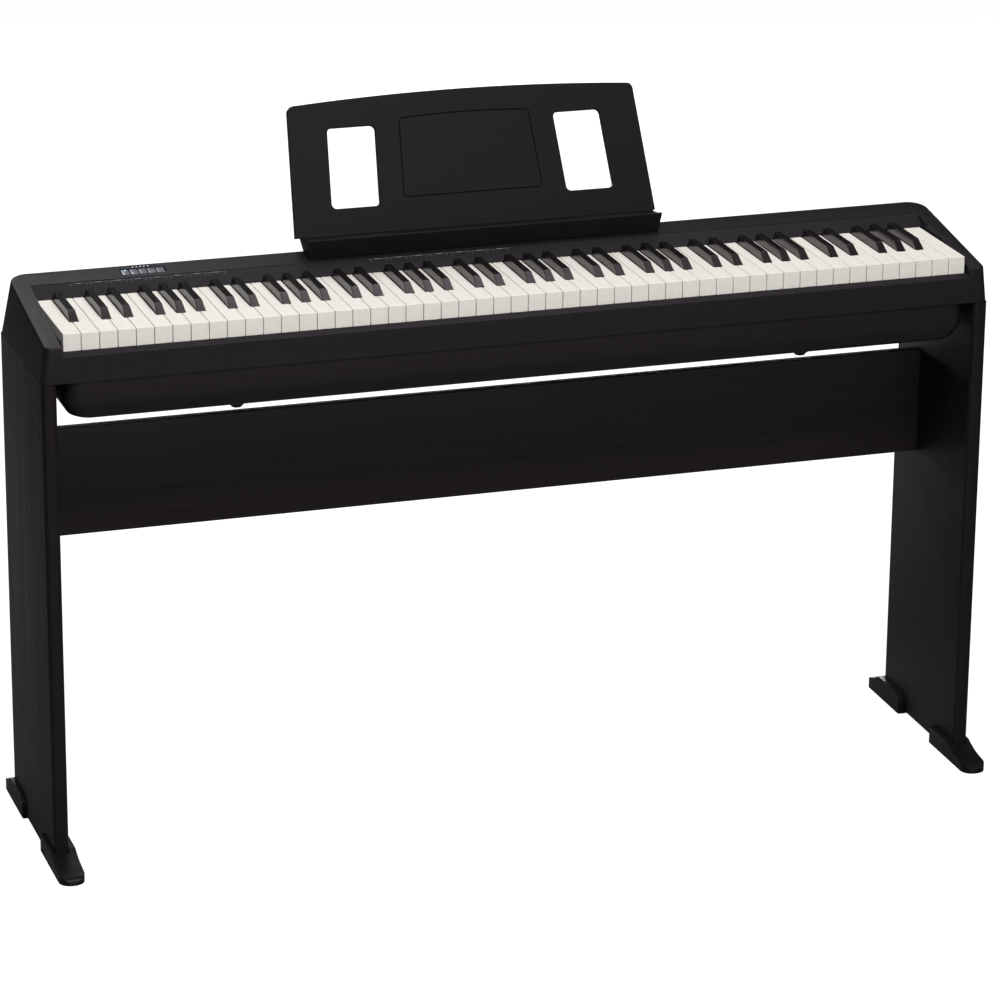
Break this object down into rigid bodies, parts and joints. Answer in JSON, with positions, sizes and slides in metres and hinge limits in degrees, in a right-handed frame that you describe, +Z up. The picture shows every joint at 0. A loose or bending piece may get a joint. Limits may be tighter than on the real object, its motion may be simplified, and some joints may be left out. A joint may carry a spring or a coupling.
{
  "type": "digital piano on stand",
  "caption": "Full-size digital piano with weighted keys and a plug-in music rest, carried by a stand of two side panels and a back board.",
  "frame": {"origin": "on the floor, under the middle of the whole piece", "axes": "+X to the player's right (treble), +Y from the player to the back, +Z up"},
  "size_m": [1.294, 0.3646, 0.9201],
  "materials": {
    "case": "satin black with fine texture",
    "lower_case": "satin black",
    "white_keys": "ivory-feel, lightly textured",
    "black_keys": "matte ebony-feel",
    "buttons": "gloss silver grey",
    "light_lens": "clear white",
    "laminate": "black laminate on board",
    "shoes": "satin black",
    "rubber": "matte",
    "plated_steel": "zinc plated",
    "black_steel": "black paint",
    "socket_plastic": "black",
    "circuit_board": "green board"
  },
  "bodies": {
    "piano_and_stand": {"back_board": "laminate", "case_foot_front_left": "rubber", "case_foot_front_right": "rubber", "case_foot_rear_left": "rubber", "case_foot_rear_right": "rubber", "corner_bracket_left": "black_steel", "corner_bracket_right": "black_steel", "dc_inlet": "socket_plastic", "front_shoe_left": "shoes", "front_shoe_right": "shoes", "indicator_bar": "light_lens", "key_bed": "plated_steel", "lower_case": "lower_case", "main_board": "circuit_board", "pedal_socket": "socket_plastic", "phones_socket": "socket_plastic", "pivot_rod": "plated_steel", "rear_shoe_left": "shoes", "rear_shoe_right": "shoes", "side_panel_left": "laminate", "side_panel_right": "laminate", "speaker_left": "black_steel", "speaker_right": "black_steel", "switch_board": "circuit_board", "upper_case": "case", "usb_socket": "socket_plastic"},
    "music_rest": {"music_rest": "case"},
    "power_button": {"power_button": "buttons"},
    "button_2": {"button_2": "buttons"},
    "button_3": {"button_3": "buttons"},
    "button_4": {"button_4": "buttons"},
    "button_5": {"button_5": "buttons"},
    "black_key_A3_sharp": {"black_key_A3_sharp": "black_keys"},
    "black_key_A4_sharp": {"black_key_A4_sharp": "black_keys"},
    "black_key_C3_sharp": {"black_key_C3_sharp": "black_keys"},
    "black_key_C4_sharp": {"black_key_C4_sharp": "black_keys"},
    "black_key_D3_sharp": {"black_key_D3_sharp": "black_keys"},
    "black_key_D4_sharp": {"black_key_D4_sharp": "black_keys"},
    "black_key_F3_sharp": {"black_key_F3_sharp": "black_keys"},
    "black_key_F4_sharp": {"black_key_F4_sharp": "black_keys"},
    "black_key_G3_sharp": {"black_key_G3_sharp": "black_keys"},
    "black_key_G4_sharp": {"black_key_G4_sharp": "black_keys"},
    "black_keys_high": {"black_keys_high": "black_keys"},
    "black_keys_low": {"black_keys_low": "black_keys"},
    "white_key_A3": {"white_key_A3": "white_keys"},
    "white_key_A4": {"white_key_A4": "white_keys"},
    "white_key_B3": {"white_key_B3": "white_keys"},
    "white_key_B4": {"white_key_B4": "white_keys"},
    "white_key_C3": {"white_key_C3": "white_keys"},
    "white_key_C4": {"white_key_C4": "white_keys"},
    "white_key_D3": {"white_key_D3": "white_keys"},
    "white_key_D4": {"white_key_D4": "white_keys"},
    "white_key_E3": {"white_key_E3": "white_keys"},
    "white_key_E4": {"white_key_E4": "white_keys"},
    "white_key_F3": {"white_key_F3": "white_keys"},
    "white_key_F4": {"white_key_F4": "white_keys"},
    "white_key_G3": {"white_key_G3": "white_keys"},
    "white_key_G4": {"white_key_G4": "white_keys"},
    "white_keys_high": {"white_keys_high": "white_keys"},
    "white_keys_low": {"white_keys_low": "white_keys"}
  },
  "joints": [
    {"name": "music_rest_lift", "type": "slide", "parent": "piano_and_stand", "child": "music_rest", "axis": [0, 0.4226, 0.9063], "range_m": [0, 0.06]},
    {"name": "power_button_press", "type": "slide", "parent": "piano_and_stand", "child": "power_button", "axis": [0, 0.1563, -0.9877], "range_m": [0, 0.0008], "stiffness_N_per_m": 300, "springref_m": -0.002},
    {"name": "button_2_press", "type": "slide", "parent": "piano_and_stand", "child": "button_2", "axis": [0, 0.1563, -0.9877], "range_m": [0, 0.0008], "stiffness_N_per_m": 300, "springref_m": -0.002},
    {"name": "button_3_press", "type": "slide", "parent": "piano_and_stand", "child": "button_3", "axis": [0, 0.1563, -0.9877], "range_m": [0, 0.0008], "stiffness_N_per_m": 300, "springref_m": -0.002},
    {"name": "button_4_press", "type": "slide", "parent": "piano_and_stand", "child": "button_4", "axis": [0, 0.1563, -0.9877], "range_m": [0, 0.0008], "stiffness_N_per_m": 300, "springref_m": -0.002},
    {"name": "button_5_press", "type": "slide", "parent": "piano_and_stand", "child": "button_5", "axis": [0, 0.1563, -0.9877], "range_m": [0, 0.0008], "stiffness_N_per_m": 300, "springref_m": -0.002},
    {"name": "black_key_A3_sharp_press", "type": "hinge", "parent": "piano_and_stand", "child": "black_key_A3_sharp", "pos_m": [0, 0.09073, 0.7], "axis": [1, 0, 0], "range_deg": [0, 3.2], "stiffness_Nm_per_rad": 1, "springref_deg": -8.02},
    {"name": "black_key_A4_sharp_press", "type": "hinge", "parent": "piano_and_stand", "child": "black_key_A4_sharp", "pos_m": [0, 0.09073, 0.7], "axis": [1, 0, 0], "range_deg": [0, 3.2], "stiffness_Nm_per_rad": 1, "springref_deg": -8.02},
    {"name": "black_key_C3_sharp_press", "type": "hinge", "parent": "piano_and_stand", "child": "black_key_C3_sharp", "pos_m": [0, 0.09073, 0.7], "axis": [1, 0, 0], "range_deg": [0, 3.2], "stiffness_Nm_per_rad": 1, "springref_deg": -8.02},
    {"name": "black_key_C4_sharp_press", "type": "hinge", "parent": "piano_and_stand", "child": "black_key_C4_sharp", "pos_m": [0, 0.09073, 0.7], "axis": [1, 0, 0], "range_deg": [0, 3.2], "stiffness_Nm_per_rad": 1, "springref_deg": -8.02},
    {"name": "black_key_D3_sharp_press", "type": "hinge", "parent": "piano_and_stand", "child": "black_key_D3_sharp", "pos_m": [0, 0.09073, 0.7], "axis": [1, 0, 0], "range_deg": [0, 3.2], "stiffness_Nm_per_rad": 1, "springref_deg": -8.02},
    {"name": "black_key_D4_sharp_press", "type": "hinge", "parent": "piano_and_stand", "child": "black_key_D4_sharp", "pos_m": [0, 0.09073, 0.7], "axis": [1, 0, 0], "range_deg": [0, 3.2], "stiffness_Nm_per_rad": 1, "springref_deg": -8.02},
    {"name": "black_key_F3_sharp_press", "type": "hinge", "parent": "piano_and_stand", "child": "black_key_F3_sharp", "pos_m": [0, 0.09073, 0.7], "axis": [1, 0, 0], "range_deg": [0, 3.2], "stiffness_Nm_per_rad": 1, "springref_deg": -8.02},
    {"name": "black_key_F4_sharp_press", "type": "hinge", "parent": "piano_and_stand", "child": "black_key_F4_sharp", "pos_m": [0, 0.09073, 0.7], "axis": [1, 0, 0], "range_deg": [0, 3.2], "stiffness_Nm_per_rad": 1, "springref_deg": -8.02},
    {"name": "black_key_G3_sharp_press", "type": "hinge", "parent": "piano_and_stand", "child": "black_key_G3_sharp", "pos_m": [0, 0.09073, 0.7], "axis": [1, 0, 0], "range_deg": [0, 3.2], "stiffness_Nm_per_rad": 1, "springref_deg": -8.02},
    {"name": "black_key_G4_sharp_press", "type": "hinge", "parent": "piano_and_stand", "child": "black_key_G4_sharp", "pos_m": [0, 0.09073, 0.7], "axis": [1, 0, 0], "range_deg": [0, 3.2], "stiffness_Nm_per_rad": 1, "springref_deg": -8.02},
    {"name": "black_keys_high_press", "type": "hinge", "parent": "piano_and_stand", "child": "black_keys_high", "pos_m": [0, 0.09073, 0.7], "axis": [1, 0, 0], "range_deg": [0, 3.2], "stiffness_Nm_per_rad": 15, "springref_deg": -8.02},
    {"name": "black_keys_low_press", "type": "hinge", "parent": "piano_and_stand", "child": "black_keys_low", "pos_m": [0, 0.09073, 0.7], "axis": [1, 0, 0], "range_deg": [0, 3.2], "stiffness_Nm_per_rad": 11, "springref_deg": -8.02},
    {"name": "white_key_A3_press", "type": "hinge", "parent": "piano_and_stand", "child": "white_key_A3", "pos_m": [0, 0.09073, 0.7], "axis": [1, 0, 0], "range_deg": [0, 2.8], "stiffness_Nm_per_rad": 1, "springref_deg": -10.31},
    {"name": "white_key_A4_press", "type": "hinge", "parent": "piano_and_stand", "child": "white_key_A4", "pos_m": [0, 0.09073, 0.7], "axis": [1, 0, 0], "range_deg": [0, 2.8], "stiffness_Nm_per_rad": 1, "springref_deg": -10.31},
    {"name": "white_key_B3_press", "type": "hinge", "parent": "piano_and_stand", "child": "white_key_B3", "pos_m": [0, 0.09073, 0.7], "axis": [1, 0, 0], "range_deg": [0, 2.8], "stiffness_Nm_per_rad": 1, "springref_deg": -10.31},
    {"name": "white_key_B4_press", "type": "hinge", "parent": "piano_and_stand", "child": "white_key_B4", "pos_m": [0, 0.09073, 0.7], "axis": [1, 0, 0], "range_deg": [0, 2.8], "stiffness_Nm_per_rad": 1, "springref_deg": -10.31},
    {"name": "white_key_C3_press", "type": "hinge", "parent": "piano_and_stand", "child": "white_key_C3", "pos_m": [0, 0.09073, 0.7], "axis": [1, 0, 0], "range_deg": [0, 2.8], "stiffness_Nm_per_rad": 1, "springref_deg": -10.31},
    {"name": "white_key_C4_press", "type": "hinge", "parent": "piano_and_stand", "child": "white_key_C4", "pos_m": [0, 0.09073, 0.7], "axis": [1, 0, 0], "range_deg": [0, 2.8], "stiffness_Nm_per_rad": 1, "springref_deg": -10.31},
    {"name": "white_key_D3_press", "type": "hinge", "parent": "piano_and_stand", "child": "white_key_D3", "pos_m": [0, 0.09073, 0.7], "axis": [1, 0, 0], "range_deg": [0, 2.8], "stiffness_Nm_per_rad": 1, "springref_deg": -10.31},
    {"name": "white_key_D4_press", "type": "hinge", "parent": "piano_and_stand", "child": "white_key_D4", "pos_m": [0, 0.09073, 0.7], "axis": [1, 0, 0], "range_deg": [0, 2.8], "stiffness_Nm_per_rad": 1, "springref_deg": -10.31},
    {"name": "white_key_E3_press", "type": "hinge", "parent": "piano_and_stand", "child": "white_key_E3", "pos_m": [0, 0.09073, 0.7], "axis": [1, 0, 0], "range_deg": [0, 2.8], "stiffness_Nm_per_rad": 1, "springref_deg": -10.31},
    {"name": "white_key_E4_press", "type": "hinge", "parent": "piano_and_stand", "child": "white_key_E4", "pos_m": [0, 0.09073, 0.7], "axis": [1, 0, 0], "range_deg": [0, 2.8], "stiffness_Nm_per_rad": 1, "springref_deg": -10.31},
    {"name": "white_key_F3_press", "type": "hinge", "parent": "piano_and_stand", "child": "white_key_F3", "pos_m": [0, 0.09073, 0.7], "axis": [1, 0, 0], "range_deg": [0, 2.8], "stiffness_Nm_per_rad": 1, "springref_deg": -10.31},
    {"name": "white_key_F4_press", "type": "hinge", "parent": "piano_and_stand", "child": "white_key_F4", "pos_m": [0, 0.09073, 0.7], "axis": [1, 0, 0], "range_deg": [0, 2.8], "stiffness_Nm_per_rad": 1, "springref_deg": -10.31},
    {"name": "white_key_G3_press", "type": "hinge", "parent": "piano_and_stand", "child": "white_key_G3", "pos_m": [0, 0.09073, 0.7], "axis": [1, 0, 0], "range_deg": [0, 2.8], "stiffness_Nm_per_rad": 1, "springref_deg": -10.31},
    {"name": "white_key_G4_press", "type": "hinge", "parent": "piano_and_stand", "child": "white_key_G4", "pos_m": [0, 0.09073, 0.7], "axis": [1, 0, 0], "range_deg": [0, 2.8], "stiffness_Nm_per_rad": 1, "springref_deg": -10.31},
    {"name": "white_keys_high_press", "type": "hinge", "parent": "piano_and_stand", "child": "white_keys_high", "pos_m": [0, 0.09073, 0.7], "axis": [1, 0, 0], "range_deg": [0, 2.8], "stiffness_Nm_per_rad": 22, "springref_deg": -10.31},
    {"name": "white_keys_low_press", "type": "hinge", "parent": "piano_and_stand", "child": "white_keys_low", "pos_m": [0, 0.09073, 0.7], "axis": [1, 0, 0], "range_deg": [0, 2.8], "stiffness_Nm_per_rad": 16, "springref_deg": -10.31}
  ]
}
